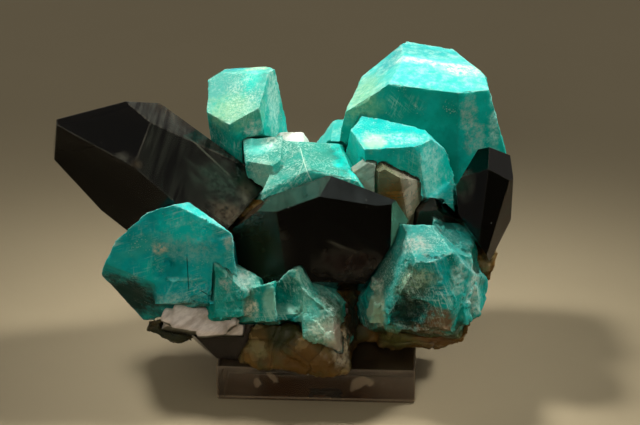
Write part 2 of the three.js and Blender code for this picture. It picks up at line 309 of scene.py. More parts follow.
# ---- relief ------------------------------------------------------------------------------------

# The own axes of the albite, squeezed across its plates, and of the rock, whose grains are about
# so many mm across.
ALBITE_TURN, ALBITE_PLATES = (10, 35, 20), (1, 1, 3)
ROCK_TURN, ROCK_GRAIN = (20, 15, 35), 13


def heap(tree, *layers):
    """Heights in metres laid on each other. A layer is a pattern and its depth in mm, from the
    pattern's 0 to its 1, measured from the pattern's middle."""
    height = 0.0
    for pattern, depth in layers:
        middle = add(tree, "Math", pattern, 0.5, operation="SUBTRACT")
        height = add(tree, "Math", middle, depth * MM, height, operation="MULTIPLY_ADD")
    return height


def carve_relief(piece, relief, chip=0.8, chip_size=6.0):
    """Moves a piece's surface along its normals by relief(tree, place), chips its sharp edges by
    up to chip mm. It keeps how sharp each edge is as the attribute "edge", and how far each face
    looks up, from -1 to 1, as "up"."""
    tree = bpy.data.node_groups.new(piece.name + "_relief", "GeometryNodeTree")
    for way in ("INPUT", "OUTPUT"):
        tree.interface.new_socket("Geometry", in_out=way, socket_type="NodeSocketGeometry")
    start = add(tree, "NodeGroupInput")
    place = add(tree, "GeometryNodeInputPosition")
    facing = add(tree, "GeometryNodeInputNormal")

    # An edge stands proud of where it would lie after five rounds of blurring.
    eased = add(tree, "GeometryNodeBlurAttribute", place, 5, data_type="FLOAT_VECTOR")
    raised = add(tree, "VectorMath", place, eased, operation="SUBTRACT")
    proud = add(tree, "VectorMath", raised, facing, operation="DOT_PRODUCT").outputs["Value"]
    edge = add(tree, "MapRange", proud, 0.04 * MM, 0.4 * MM, 0.0, 1.0)
    kept = add(tree, "GeometryNodeStoreNamedAttribute", at={
        "Geometry": start, "Name": "edge", "Value": edge})
    kept = add(tree, "GeometryNodeStoreNamedAttribute", at={
        "Geometry": kept, "Name": "up", "Value": add(tree, "SeparateXYZ", facing).outputs["Z"]})

    broken = both(tree, edge, patches(tree, place, chip_size, share=0.4, rim=0.14))
    height = add(tree, "Math", broken, -chip * MM, relief(tree, place), operation="MULTIPLY_ADD")
    push = add(tree, "VectorMath", operation="SCALE", at={0: facing, "Scale": height})
    moved = add(tree, "GeometryNodeSetPosition", at={"Geometry": kept, "Offset": push})
    add(tree, "NodeGroupOutput", moved)
    finish_with(piece, "NODES", node_group=tree)


def amazonite_relief(turn, broken, rugged, dents):
    """Growth relief of feldspar: broad swells, low straight-edged steps on a broken share of the
    faces, a fine grain, and pitted dents at the given places. rugged makes the steps higher."""
    def relief(tree, place):
        own = in_crystal(tree, place, turn)
        swells = clouds(tree, place, 28, detail=2.0)
        steps = both(tree, cleavage(tree, own, 8.0, looseness=0.75),
                     patches(tree, place, 22, share=broken, rim=0.1))
        small_steps = both(tree, cleavage(tree, own, 3.0, looseness=0.9),
                           patches(tree, place, 15, share=broken, rim=0.1))
        grain = clouds(tree, place, 1.6, detail=3.0)
        height = heap(tree, (swells, 0.7), (steps, 0.7 * rugged), (small_steps, 0.35 * rugged),
                      (grain, 0.14))
        for centre, radii, depth in dents:
            dent = spot(tree, place, centre, radii, soft=0.3, ragged=0.35)
            pits = add(tree, "Math", cleavage(tree, own, 3.2, looseness=1.0), 0.5, operation="ADD")
            height = add(tree, "Math", both(tree, dent, pits), -depth * MM, height,
                         operation="MULTIPLY_ADD")
        return height
    return relief


def albite_relief(tree, place):
    """Cleaved albite: fine parallel plates on gentle swells."""
    own = in_crystal(tree, place, ALBITE_TURN, ALBITE_PLATES)
    plates = cleavage(tree, own, 6, looseness=0.9)
    return heap(tree, (plates, 0.2), (clouds(tree, place, 8, detail=2.0), 0.9))


def rock_relief(tree, place):
    """Broken feldspar and quartz: rounded lumps, a few angular steps, cracks and a fine grain."""
    own = in_crystal(tree, place, ROCK_TURN)
    lumps = clouds(tree, place, 20, detail=3.0, roughness=0.5)
    steps = both(tree, cleavage(tree, own, 9, looseness=0.9),
                 patches(tree, place, 18, share=0.5, rim=0.15))
    small_steps = cleavage(tree, own, 4, looseness=1.0)
    grain = clouds(tree, place, 1.8, detail=4.0)
    return heap(tree, (lumps, 4.5), (steps, 1.6), (small_steps, 0.5),
                (cracks(tree, place, ROCK_GRAIN, width=1.0), -0.6), (grain, 0.4))


# ---- finishes ----------------------------------------------------------------------------------

FELDSPAR_IOR, QUARTZ_IOR, ACRYLIC_IOR = 1.53, 1.544, 1.49
CLEAR = (1, 1, 1, 1)


def new_finish(name):
    """An empty material, with its tree and the object's own coordinates."""
    material = bpy.data.materials.new(name)
    material.use_nodes = True
    material.node_tree.nodes.clear()
    tree = material.node_tree
    return material, tree, add(tree, "TexCoord").outputs["Object"]


def stone(tree, material, colour, roughness, bump, **more):
    """Closes a stone material: its colour, roughness and bump on one shader."""
    shader = add(tree, "BsdfPrincipled", at={
        "Base Color": colour, "Roughness": roughness, "IOR": FELDSPAR_IOR, "Normal": bump, **more})
    add(tree, "OutputMaterial", shader)
    return material


def amazonite(name, turn, crest, bleach, wisps, streaks, tints, frosts, veins=(), deep="009f90",
              bright="10b8ac"):
    """Amazonite is green microcline, grown in semi-matte blocks: clean teal on its upright faces,
    mottled white where its upper ones are bleached, with milky wisps, straight white streaks of
    albite along the crystal (perthite) and pale worn edges. Its upper faces are also painted paler
    and brighter, as painted light, and its downward faces carry a painted shade. deep and bright
    are the colours of its body, and crest the painted-light colour of its upper faces. bleach,
    wisps and streaks are shares. tints are even patches, some of them painted shade and one a
    painted
    highlight, and frosts are broken ones: a colour, how strong it is, and its centre and radii in
    mm. veins are thin lines, each with a colour and how strong it is."""
    material, tree, place = new_finish(name)
    up = add(tree, "Attribute", attribute_name="up").outputs["Fac"]
    top = add(tree, "MapRange", up, 0.25, 0.7, 0.0, 1.0)

    # The body, in two tones with darker patches and milky wisps, its upper faces painted paler and
    # brighter as painted light, and the tints, some of them painted shade and one a painted
    # highlight.
    colour = coat(tree, linear(deep), bright, patches(tree, place, 18, share=0.5, rim=0.35))
    darker = patches(tree, place, 8, share=0.3, rim=0.4, detail=8.0, roughness=0.7)
    colour = coat(tree, colour, "007068", darker, 0.4)
    wisp = patches(tree, in_crystal(tree, place, turn, (1, 1, 0.4)), 10, share=wisps, rim=0.24,
                   detail=10.0, roughness=0.74)
    colour = coat(tree, colour, "36a89a", wisp, 0.5)
    # Painted light: the upper faces take the crest colour and brighter patches where the lamps
    # fall.
    colour = coat(tree, colour, crest, top, 0.85)
    painted_highlight_patches = patches(tree, place, 7, share=0.4, rim=0.3, detail=8.0, roughness=0.7)
    colour = coat(tree, colour, bright, top, painted_highlight_patches, 0.6)
    colour = dab(tree, place, colour, tints, soft=0.45)

    # Bleaching on the upper faces, two sets of albite streaks, frosted patches and veins.
    bleached = patches(tree, place, 4, share=bleach, rim=0.25, detail=10.0, roughness=0.75)
    colour = coat(tree, colour, "c0eadb", top, bleached, 0.5)
    for lean, width, strength in ((0, 0.6, 0.5), (68, 0.8, 0.3)):
        along = in_crystal(tree, place, (turn[0], turn[1] + lean, turn[2]), (1, 1, 0.07))
        streak = patches(tree, along, width, share=0.3, rim=0.16, detail=3.0)
        streaked = patches(tree, place, 13, share=streaks, rim=0.3)
        colour = coat(tree, colour, "c4e6d8", streak, streaked, strength)
    broken = patches(tree, place, 1.7, share=0.5, rim=0.3, detail=8.0, roughness=0.75)
    colour = dab(tree, place, colour, frosts, broken, soft=0.5, ragged=0.7, size=4.0)
    for hex_colour, strength, *line in veins:
        colour = coat(tree, colour, hex_colour, vein(tree, place, *line), strength)

    # Dust, painted shade on the downward faces and pale worn edges.
    dusted = patches(tree, place, 8, share=0.15, rim=0.15)
    dust = grains(tree, place, 0.7, reach=0.8, share=0.5)
    colour = coat(tree, colour, "c9d8cc", dust, dusted, 0.4)
    # painted shade: a dark olive on the downward faces
    under = add(tree, "MapRange", up, -0.4, -0.8, 0.0, 0.8)
    colour = coat(tree, colour, "2e3018", under, patches(tree, place, 12, share=0.6, rim=0.3))
    edge = add(tree, "Attribute", attribute_name="edge").outputs["Fac"]
    worn = both(tree, edge, patches(tree, place, 3, share=0.5, rim=0.2))
    colour = coat(tree, colour, "b9e0d4", worn, add(tree, "MapRange", up, 0.0, 0.5, 0.0, 0.5))

    dull = add(tree, "MapRange", clouds(tree, place, 7, detail=4.0), 0.3, 0.7, 0.36, 0.6)
    grain = clouds(tree, place, 0.9, detail=5.0, roughness=0.7)
    bump = add(tree, "Bump", at={"Strength": 0.5, "Distance": 0.12 * MM, "Height": grain})
    return stone(tree, material, colour, dull, bump, **{
        "Specular IOR Level": 0.07, "Subsurface Weight": 0.2,
        "Subsurface Radius": (0.15, 1.0, 0.9), "Subsurface Scale": 2.5 * MM})


def frost_by_face(piece, faces):
    """Keeps how frosted each crystal face is and its tone, as the attributes "frost" and "tone".
    faces gives the bearing and rise that a face looks along, in degrees, its share of frost and
    its colour. Narrow faces are worn edges, with a little frost, and all else stays clear."""
    narrow, chipped = 30 * MM * MM, 0.07  # a worn edge's greatest area, and its frost
    near = math.radians(3)
    frost = piece.data.attributes.new("frost", "FLOAT", "FACE")
    tone = piece.data.attributes.new("tone", "FLOAT_COLOR", "FACE")
    for face in piece.data.polygons:
        tone.data[face.index].color = linear("9a9684")
        if face.area < narrow:
            frost.data[face.index].value = chipped
        for bearing, rise, share, hex_colour in faces:
            turn, lift = math.radians(bearing), math.radians(rise)
            looks = Vector((math.cos(turn) * math.cos(lift), math.sin(turn) * math.cos(lift),
                            math.sin(lift)))
            if looks.angle(face.normal) < near:
                frost.data[face.index].value = share
                tone.data[face.index].color = linear(hex_colour)


def smoky_quartz(name, turn, smoke="a89b74", density=420.0, bands=0.25, stains=(), veins=()):
    """Smoky quartz is clear quartz darkened by natural radiation. It is glassy, near black where
    it is thick and greenish brown where it is thin, with fine ridges across its prism faces,
    specks of dust, and a thin film on some faces. smoke is the colour it lets through, density
    how fast it darkens with depth, and bands how much the film follows the ridges. stains are
    frosted or stained patches: a colour, how strong it is, its centre and radii in mm. veins are
    hazy lines, as for vein."""
    material, tree, place = new_finish(name)
    along = in_crystal(tree, place, turn, (0.08, 0.08, 1))
    ridges = clouds(tree, along, 3.0, detail=3.0, roughness=0.6)
    swells = clouds(tree, place, 12, detail=2.0)
    height = add(tree, "Math", ridges, 0.3, swells, operation="MULTIPLY_ADD")
    bump = add(tree, "Bump", at={"Strength": 0.1, "Distance": 0.4 * MM, "Height": height})

    # The crust is the share of film on the glass: on frosted faces, stains, veils and specks.
    colour = add(tree, "Attribute", attribute_name="tone").outputs["Color"]
    banded = add(tree, "MapRange", ridges, 0.38, 0.62, 1 - bands, 1 + bands)
    thick = clouds(tree, place, 9, detail=5.0, roughness=0.6)
    uneven = add(tree, "MapRange", thick, 0.3, 0.7, 0.6, 1.3)
    frost = add(tree, "Attribute", attribute_name="frost").outputs["Fac"]
    crust = both(tree, frost, banded, uneven)
    broken = patches(tree, place, 2.0, share=0.55, rim=0.4, detail=8.0, roughness=0.75)
    for hex_colour, strength, centre, radii in stains:
        patch = spot(tree, place, centre, radii, soft=0.6, ragged=0.7, size=4.0)
        colour = coat(tree, colour, hex_colour, patch)
        crust = add(tree, "Math", crust, both(tree, patch, broken, strength), operation="MAXIMUM")
    for line in veins:
        veil = both(tree, vein(tree, place, *line), 0.15)
        colour = coat(tree, colour, "6b5c3a", veil)
        crust = add(tree, "Math", crust, veil, operation="MAXIMUM")
    dusty = patches(tree, place, 11, share=0.3, rim=0.15)
    specks = both(tree, grains(tree, place, 1.5, reach=0.25, share=0.12), dusty)
    colour = coat(tree, colour, "b9bfb0", specks)
    crust = add(tree, "Math", crust, both(tree, specks, 0.6), operation="MAXIMUM")

    # Natural faces are slightly etched, so the tint weakens what they mirror.
    glass = add(tree, "BsdfPrincipled", at={
        "Base Color": CLEAR, "Roughness": 0.07, "IOR": QUARTZ_IOR, "Transmission Weight": 1.0,
        "Specular Tint": (0.4, 0.4, 0.4, 1), "Normal": bump})
    film = add(tree, "BsdfPrincipled", at={
        "Base Color": colour, "Roughness": 0.5, "IOR": QUARTZ_IOR, "Normal": bump})
    surface = add(tree, "MixShader", crust, glass, film)
    inside = add(tree, "VolumeAbsorption", linear(smoke), density)
    add(tree, "OutputMaterial", surface, inside)
    return material


def albite(name, body, pale):
    """Albite is white to pinkish feldspar, in thin plates with satin faces and a pearly gleam. It
    takes a tint from what it grows on, and its downward faces carry a painted shade of dark olive."""
    material, tree, place = new_finish(name)
    own = in_crystal(tree, place, ALBITE_TURN, ALBITE_PLATES)
    colour = coat(tree, linear(body), pale, patches(tree, own, 8, share=0.6, rim=0.35))
    colour = coat(tree, colour, "8a7a55", patches(tree, place, 9, share=0.2, rim=0.2), 0.5)
    up = add(tree, "Attribute", attribute_name="up").outputs["Fac"]
    # painted shade: dark olive on the downward faces
    under = add(tree, "MapRange", up, -0.05, -0.35, 0.0, 0.9)
    colour = coat(tree, colour, "35371f", under)
    grain = clouds(tree, place, 2.5, detail=4.0)
    bump = add(tree, "Bump", at={"Strength": 0.3, "Distance": 0.15 * MM, "Height": grain})
    return stone(tree, material, colour, 0.42, bump, **{
        "Subsurface Weight": 0.3, "Subsurface Radius": (1.0, 0.8, 0.7),
        "Subsurface Scale": 2.0 * MM})


def feldspar_rock(name, tints, frosts):
    """The rock is coarse feldspar and quartz, waxy and amber with ochre and olive iron stains,
    and dark along the cracks between its grains. tints and frosts are as for amazonite."""
    material, tree, place = new_finish(name)
    grain = cleavage(tree, in_crystal(tree, place, ROCK_TURN), 5, looseness=1.0)
    colour = coat(tree, linear("4c3812"), "73531f", patches(tree, place, 13, share=0.45, rim=0.4))
    olive = patches(tree, place, 10, share=0.35, rim=0.3, detail=7.0)
    colour = coat(tree, colour, "3c4428", olive, 0.7)
    pale = add(tree, "MapRange", grain, 0.25, 0.0, 0.0, 0.5)
    colour = coat(tree, colour, "a39066", pale)
    colour = dab(tree, place, colour, tints, soft=0.5)
    broken = patches(tree, place, 2.2, share=0.6, rim=0.35, detail=8.0, roughness=0.7)
    colour = dab(tree, place, colour, frosts, broken)
    colour = coat(tree, colour, "1a150c", cracks(tree, place, ROCK_GRAIN, width=0.6), 0.3)
    dull = add(tree, "MapRange", grain, 0.2, 0.8, 0.35, 0.6)
    rough = clouds(tree, place, 1.2, detail=5.0, roughness=0.7)
    bump = add(tree, "Bump", at={"Strength": 0.6, "Distance": 0.25 * MM, "Height": rough})
    return stone(tree, material, colour, dull, bump, **{
        "Specular IOR Level": 0.25, "Subsurface Weight": 0.25,
        "Subsurface Radius": (1.0, 0.6, 0.2), "Subsurface Scale": 2.5 * MM})


# Painted light on the block's front, laid in its film: centre and radii in mm, how ragged its rim
# is, and the share it adds. The first two are painted lighter patches on the left and right, and
# the last is a painted bright line along the foot.
FRONT_PAINTED_LIGHT = [
    ((-33, -40, 8), (10, 6, 9), 0.3, 0.06),
    ((31, -40, 8), (11, 6, 9), 0.3, 0.07),
    ((0, -40, 1.5), (60, 3, 0.45), 0.02, 0.3),
]
FRONT_GLINTS = [(-20, -40, 8), (19, -40, 7)]  # the centres of two painted angular glints


def clear_acrylic(name):
    """Acrylic, sawn and flame polished: clear and glossy, a little brown through its thickness,
    with a faint ripple and a thin film of dust and fine scratches, more on its narrow chamfers.
    Painted light lies in the same film: lighter patches, a bright line along the foot and two
    glints on its front."""
    material, tree, place = new_finish(name)
    waves = clouds(tree, place, 14, detail=2.0)
    ripple = add(tree, "Bump", at={"Strength": 0.05, "Distance": 0.3 * MM, "Height": waves})
    plastic = add(tree, "BsdfPrincipled", at={
        "Base Color": CLEAR, "Roughness": 0.02, "IOR": ACRYLIC_IOR, "Transmission Weight": 1.0,
        "Normal": ripple})
    dust = add(tree, "BsdfPrincipled", at={
        "Base Color": linear("b5a184"), "Roughness": 0.6, "IOR": ACRYLIC_IOR, "Normal": ripple})

    # The film is the share of the dusty layer on the plastic: thin clouds of dust, then painted
    # light in it: lighter patches, a bright line along the foot and two angular glints.
    haze = clouds(tree, place, 22, detail=5.0, roughness=0.65)
    film = add(tree, "MapRange", haze, 0.35, 0.65, 0.0, 0.04)
    # painted light: lighter patches and a bright line on the front
    for centre, radii, ragged, share in FRONT_PAINTED_LIGHT:
        patch = spot(tree, place, centre, radii, soft=0.4, ragged=ragged)
        film = add(tree, "Math", patch, share, film, operation="MULTIPLY_ADD")
    shards = cleavage(tree, in_crystal(tree, place, (0, 35, 0)), 4.5)
    shards = add(tree, "Math", shards, 0.5, operation="GREATER_THAN")
    # painted glints, made angular by the shards
    for centre in FRONT_GLINTS:
        painted_glint = both(tree, spot(tree, place, centre, (5, 5, 5), soft=0.1, ragged=0.1), shards)
        film = add(tree, "Math", painted_glint, 0.3, film, operation="MULTIPLY_ADD")

    # The normal's parts to the fourth power add up to 1 on a square face, less on a chamfer.
    facing = add(tree, "NewGeometry").outputs["Normal"]
    squares = add(tree, "VectorMath", facing, facing, operation="MULTIPLY")
    fourths = add(tree, "VectorMath", squares, squares, operation="DOT_PRODUCT")
    scuffed = add(tree, "MapRange", fourths.outputs["Value"], 0.9, 0.6, 0.0, 0.5)
    film = add(tree, "Math", film, scuffed, operation="ADD")

    inside = add(tree, "VolumeAbsorption", linear("ae9359"), 85.0)
    add(tree, "OutputMaterial", add(tree, "MixShader", film, plastic, dust), inside)
    return material


# ---- amazonite crystals ------------------------------------------------------------------------

MILKY, PINK, ICE = "dff5ea", "d8c6ba", "c4e6da"

# Each crystal: its solid, the turn of its own axes in degrees, the share of its faces that is
# broken, and its look, as for amazonite. Some have dents (centre, radii, depth), lumps grown on
# or broken out (centre, size, turn), a grid or wear of their own, or more rugged steps.
AMAZONITES = {
    "tower_crystal": dict(
        node="amazonite_left_tower", turn=(0, -6, 0), broken=0.15,
        look=dict(
            crest="40a596", bleach=0.18, wisps=0.2, streaks=0.4,
            tints=[
                ("4fa097", 0.6, (-44, 20, 112), (8, 10, 7)),
                ("72b584", 0.5, (-36, 8, 106), (11, 8, 6)),
                ("00cfc0", 0.7, (-28, 21, 114), (4, 6, 5)),
                ("008d9c", 0.7, (-37, 31, 118), (7, 4, 3)),
                # painted shade at the lower left of the front
                ("00554a", 0.6, (-46, 8, 92), (6, 8, 9)),
            ],
            frosts=[
                ("c8e2b4", 0.3, (-38, 8, 106), (10, 7, 6)),
                ("e6efb8", 0.7, (-27, 30, 118), (5, 4, 3)),
                (PINK, 0.6, (-27, 5, 100), (4, 3, 4)),
                (MILKY, 0.5, (-20, 21, 106), (3, 9, 15)),
            ],
        ),
    ),
    "crown_crystal": dict(
        node="amazonite_crown", turn=(0, -20, 0), broken=0.15,
        look=dict(
            crest="4fc8c4", bleach=0.35, wisps=0.08, streaks=0.02,
            tints=[
                ("62ae88", 0.7, (16, 22, 110), (9, 16, 9)),
                ("00929a", 0.6, (25, 38, 117), (8, 8, 4)),
                ("1c9c9e", 0.7, (43, 47, 120), (26, 8, 4)),
                # painted shade at the foot of the front, where the right block shades it
                ("006e66", 0.5, (50, 12, 88), (10, 6, 12)),
            ],
            frosts=[
                (MILKY, 1.0, (38, 34, 120.5), (13, 2.5, 3)),
                ("eef3cf", 0.9, (57, 31, 117.5), (10, 4, 3)),
                ("cfe6b4", 0.3, (15, 20, 109), (7, 15, 9)),
                (PINK, 0.35, (60, 14, 103), (3, 4, 8)),
                (PINK, 0.35, (63, 15, 93), (4, 4, 5)),
                (ICE, 0.6, (70, 24, 95), (2.5, 9, 17)),
            ],
        ),
    ),
    "right_block_crystal": dict(
        node="amazonite_right_block", turn=(0, -8, 0), broken=0.25,
        look=dict(
            crest="08aeac", deep="00b2a2", bright="14c4bc", bleach=0.05, wisps=0.1,
            streaks=0.25,
            tints=[("a6dfae", 0.8, (22, -3, 99), (5, 4, 4))],
            frosts=[
                (ICE, 0.5, (45, -2, 86), (5, 7, 12)),
                (MILKY, 0.4, (30, -1, 100), (14, 4, 3)),
            ],
        ),
    ),
    "centre_block_crystal": dict(
        node="amazonite_centre_block", turn=(0, -45, 0), broken=0.2,
        look=dict(
            crest="2f8577", bright="109a8c", bleach=0.03, wisps=0.3, streaks=0.5,
            tints=[
                # painted highlight on the right edge of the roof
                ("00e0d4", 0.95, (13, 1, 90), (7, 12, 8)),
                ("00786e", 0.7, (-24, -3, 88), (6, 6, 4)),
                ("5fd0c4", 0.6, (-26, 0, 95), (6, 6, 3)),
                ("86c4b2", 0.5, (-23, -9, 85), (5, 6, 7)),
            ],
            frosts=[
                (MILKY, 0.7, (-20, 2, 96), (4, 4, 3)),
                ("9cb8a2", 0.6, (-22, -10, 83), (5, 6, 9)),
            ],
            veins=[
                ("d3efdc", 0.5, (-5.7, -10, 92), (0.9, 0.1, 0.42), 0.4, 11),
                ("d3efdc", 0.3, (-8, -12, 90), (0.8, 0.1, -0.6), 0.3, 7),
            ],
        ),
    ),
    "front_left_crystal": dict(
        node="amazonite_front_left", turn=(0, -70, 0), broken=0.3,
        dents=[((-60, -42, 61), (4, 3, 6), 1.6), ((-48, -44, 49), (9, 3, 7), 1.2)],
        out=[
            ((-63.5, -46, 48), (7, 7, 17), (0, 24, 0)),
            ((-45, -47, 45), (8, 5, 5), (-15, 14, 0)),
        ],
        look=dict(
            crest="3fb3ac", deep="00989a", bright="00aeb0", bleach=0.25, wisps=0.3,
            streaks=0.2,
            tints=[
                # painted shade on the lower left face
                ("05211a", 0.95, (-75, -32, 42), (16, 12, 12)),
                ("00c6c0", 0.85, (-50, -38, 77), (12, 6, 7)),
                ("00b4ac", 0.7, (-65, -42, 58), (5, 4, 5)),
                # painted shade in the dent right of the bulge
                ("00736f", 0.5, (-56, -42, 60), (5, 3, 5)),
                ("2f9d92", 0.5, (-42, -32, 77), (12, 6, 5)),
            ],
            frosts=[
                ("d3c3a4", 0.9, (-61, -41, 67), (3, 3, 2.5)),
                ("8fb5a8", 0.5, (-50, -41, 68), (12, 4, 5)),
                (MILKY, 0.4, (-42, -34, 78), (12, 5, 2.5)),
                ("a3c4b8", 0.7, (-57, -45, 45), (9, 4, 4)),
                ("c6c6b4", 0.7, (-34, -36, 70), (3, 6, 6)),
            ],
            veins=[
                ("06332e", 0.8, (-50, -45, 58), (1, 0.1, 0.03), 0.5, 9),
                ("06332e", 0.8, (-42, -45, 49), (0.5, 0, 0.85), 0.5, 5),
            ],
        ),
    ),
    "front_step_crystals": dict(
        node="amazonite_front_steps", turn=(0, 25, 0), broken=0.6, rugged=1.6, grid=0.5,
        out=[
            ((-29, -48, 46), (5, 3, 0.8), (0, -12, 0)),
            ((-23, -49, 42), (3.5, 3, 0.8), (0, 8, 0)),
            ((-3.6, -46, 26.7), (24, 14, 12), (6, 35, 8)),
        ],
        look=dict(
            crest="4fa898", deep="008478", bright="0a9a8e", bleach=0.3, wisps=0.25,
            streaks=0.3,
            tints=[
                ("00a79c", 0.7, (-31, -43, 57), (5, 5, 5)),
                ("8cc8b4", 0.7, (-17.5, -47, 49), (3, 3, 7)),
                ("577a66", 0.7, (-26.5, -45, 47), (3, 3, 7)),
                # painted shade on the recessed face
                ("00655a", 0.85, (-11, -39, 50), (4, 4, 7)),
                ("92c9ba", 0.7, (-11, -43, 42.5), (6, 4, 1.5)),
                ("007d86", 0.8, (-11, -46, 39), (6, 3, 2.5)),
                ("3b5c45", 0.85, (6, -40, 48), (5, 6, 8)),
                ("4e6a54", 0.85, (10, -41, 38), (4, 6, 8)),
                ("1f4a36", 0.9, (9, -43, 42), (6, 8, 12)),
                ("62704f", 0.9, (0, -46, 28), (9, 9, 6)),
                ("56634a", 0.95, (-5, -45, 30), (3.5, 7, 8)),
                ("5f8f78", 0.75, (1, -47.5, 34), (6, 4, 7)),
                ("2f7d6c", 0.7, (-5, -42, 50), (5, 5, 9)),
                ("b3a898", 0.97, (9.5, -44, 30), (5.5, 8, 8)),
                ("4b4a30", 0.95, (14, -36, 28), (4, 7, 8)),
            ],
            frosts=[
                (MILKY, 0.7, (-28, -42, 56), (3, 5, 4)),
                (PINK, 0.6, (-35, -46, 55), (2, 3, 4)),
                ("e0dcc4", 0.9, (-25.5, -46, 45), (2.5, 3, 3.5)),
                ("b5d3ba", 0.6, (-6, -40, 57), (4, 5, 3)),
                ("84b09a", 0.5, (-4, -44, 46), (3, 3, 12)),
                ("c6d6c0", 0.7, (3, -47, 35), (5, 4, 8)),
            ],
        ),
    ),
    "front_right_crystal": dict(
        node="amazonite_front_right", turn=(0, 20, 0), broken=0.7, rugged=1.3, grid=0.55,
        wear=2.0,
        dents=[
            ((38, -46, 57), (10, 5, 6), 1.3),
            ((37, -46, 43), (9, 5, 8), 2.0),
            ((50, -45, 38), (6, 5, 7), 1.0),
        ],
        grown=[
            ((25, -37, 41), (8, 7, 10), (8, 12, 20)),
            ((24, -31, 49), (5, 5, 5), (0, 20, 15)),
            ((31, -41, 37), (6, 6, 6), (15, 25, 10)),
            ((58, -36, 40), (6, 6, 9), (0, -12, -25)),
        ],
        out=[
            ((17, -40, 29), (12, 14, 9), (0, 34, 0)),
            ((64, -38, 29), (14, 14, 9), (0, -30, 0)),
            ((38, -49, 45), (13, 6, 12), (8, 14, 14)),
        ],
        look=dict(
            crest="34807a", deep="008c84", bright="069e95", bleach=0.08, wisps=0.3,
            streaks=0.3,
            tints=[
                ("008d8c", 0.7, (48, -44, 60), (4, 4, 9)),
                ("4a4a1c", 0.97, (42, -36, 24), (34, 20, 10)),
                ("2b5a48", 0.7, (26, -32, 55), (5, 9, 13)),
                ("34563f", 0.9, (37, -46, 56), (9, 6, 8)),
                # painted shade in the pit
                ("17281c", 0.95, (38, -45, 44), (9, 7, 8)),
                ("73502e", 0.9, (49, -46, 39), (7, 5, 7)),
                ("6b4a28", 0.85, (43, -42, 32), (9, 7, 5)),
                ("474d24", 0.9, (31, -42, 33), (8, 8, 5)),
                ("8fa68c", 0.9, (24, -38, 41), (5, 7, 8)),
                ("31482f", 0.8, (56, -38, 33), (5, 6, 5)),
            ],
            frosts=[
                (PINK, 0.5, (38, -37, 70), (6, 5, 3)),
                (MILKY, 0.3, (33, -34, 68), (3, 4, 4)),
                ("a9c8a9", 0.7, (39, -46, 59), (9, 4, 4)),
                ("c9d3c0", 0.8, (24, -32, 50), (3, 4, 3)),
                ("bfd0c4", 0.8, (62, -28, 45), (5, 8, 12)),
                ("a9c8bc", 0.7, (56, -40, 57), (3, 4, 8)),
            ],
        ),
    ),
}


def make_amazonite(name, node, turn, broken, look, out=(), grown=(), dents=(), rugged=1.0,
                   wear=0.8, grid=0.7):
    """One crystal of AMAZONITES."""
    piece = solid_copy(node, name)
    break_out(piece, out)
    grow_on(piece, grown)
    even_skin(piece, wear, grid)
    carve_relief(piece, amazonite_relief(turn, broken, rugged, dents))
    finish = amazonite(name.replace("crystal", "amazonite"), turn, **look)
    set_down(piece, node, finish)


# ---- smoky quartz ------------------------------------------------------------------------------

# Each crystal: its solid, the turn of its own axes in degrees, its frosted faces, as for
# frost_by_face, and what sets it apart, as for smoky_quartz.
QUARTZES = {
    "left_quartz_crystal": dict(
        node="smoky_quartz_left", turn=(0, 69, 0), bands=0.9,
        faces=[(0, 65, 0.05, "8b9183"), (310, 55, 0.02, "6f7a62")],
        stains=[
            ("6a5a30", 0.25, (-36, -24, 76), (8, 6, 6)),
            ("1f5a3c", 0.17, (-38, -12, 84), (15, 9, 9)),
            ("8a8a78", 0.12, (-78, -19, 97), (3, 3, 2.5)),
            ("6b5a35", 0.12, (-72, -21, 95), (3, 3, 2.5)),
            ("8f9678", 0.2, (-29, -13, 78), (3, 6, 6)),
        ],
        veins=[((-40, -6, 90), (0.36, 0.8, -0.1), 1.0, 22)],
    ),
    "centre_quartz_crystal": dict(
        node="smoky_quartz_centre", turn=(0, -78, 0),
        faces=[
            # painted reflection: this face is tinted green for the amazonite it mirrors
            (200, 70, 0.3, "1c5140"),
            (305, 70, 0.1, "3c4a4a"),
            (240, 0, 0.3, "26301a"),
            # painted reflection: this face is tinted green for the amazonite it mirrors
            (330, 5, 0.55, "4f8a72"),
            (170, 47, 0.3, "4a3a22"),
        ],
        stains=[
            ("3a1a0c", 0.3, (14, -34, 60), (12, 4, 5)),
            ("2a3518", 0.35, (-20, -32, 66), (7, 5, 9)),
        ],
        veins=[((13, -33, 65), (0.42, 0, 0.9), 1.6, 10)],
    ),
    "right_quartz_crystal": dict(
        node="smoky_quartz_right", turn=(0, -6, 0),
        faces=[(330, -5, 0.04, "6b4a30")],
        stains=[
            ("1d5a40", 0.25, (57, -14, 86), (4, 5, 5)),
            ("7d6233", 0.7, (66, -8, 45), (6, 8, 6)),
        ],
    ),
    "small_quartz_crystal": dict(
        node="smoky_quartz_small", turn=(0, 5, 0),
        faces=[(265, -5, 0.4, "283422"), (315, 5, 0.3, "1c2318"), (255, 60, 0.1, "4d5a48")],
    ),
    "under_quartz": dict(
        node="smoky_quartz_under", turn=(0, 70, 0), density=250.0,
        faces=[(262, 5, 0.3, "30200f"), (270, 65, 0.3, "40301a")],
    ),
    "brown_quartz_crystal": dict(
        node="smoky_quartz_brown", turn=(0, 5, 0), slot="brown_quartz", smoke="c9a25c",
        density=110.0,
        faces=[
            (265, -5, 0.7, "8a8462"),
            (320, 5, 0.5, "8f8a6c"),
            (5, 60, 0.5, "a8a28e"),
            (205, 55, 0.5, "7c8461"),
        ],
        stains=[
            ("8a6424", 0.75, (30, -12, 80), (6, 5, 6)),
            ("8a8f6c", 0.85, (26, -11, 89), (6, 5, 5)),
            ("b5b09a", 0.9, (37, -10, 84), (3, 6, 10)),
        ],
    ),
}


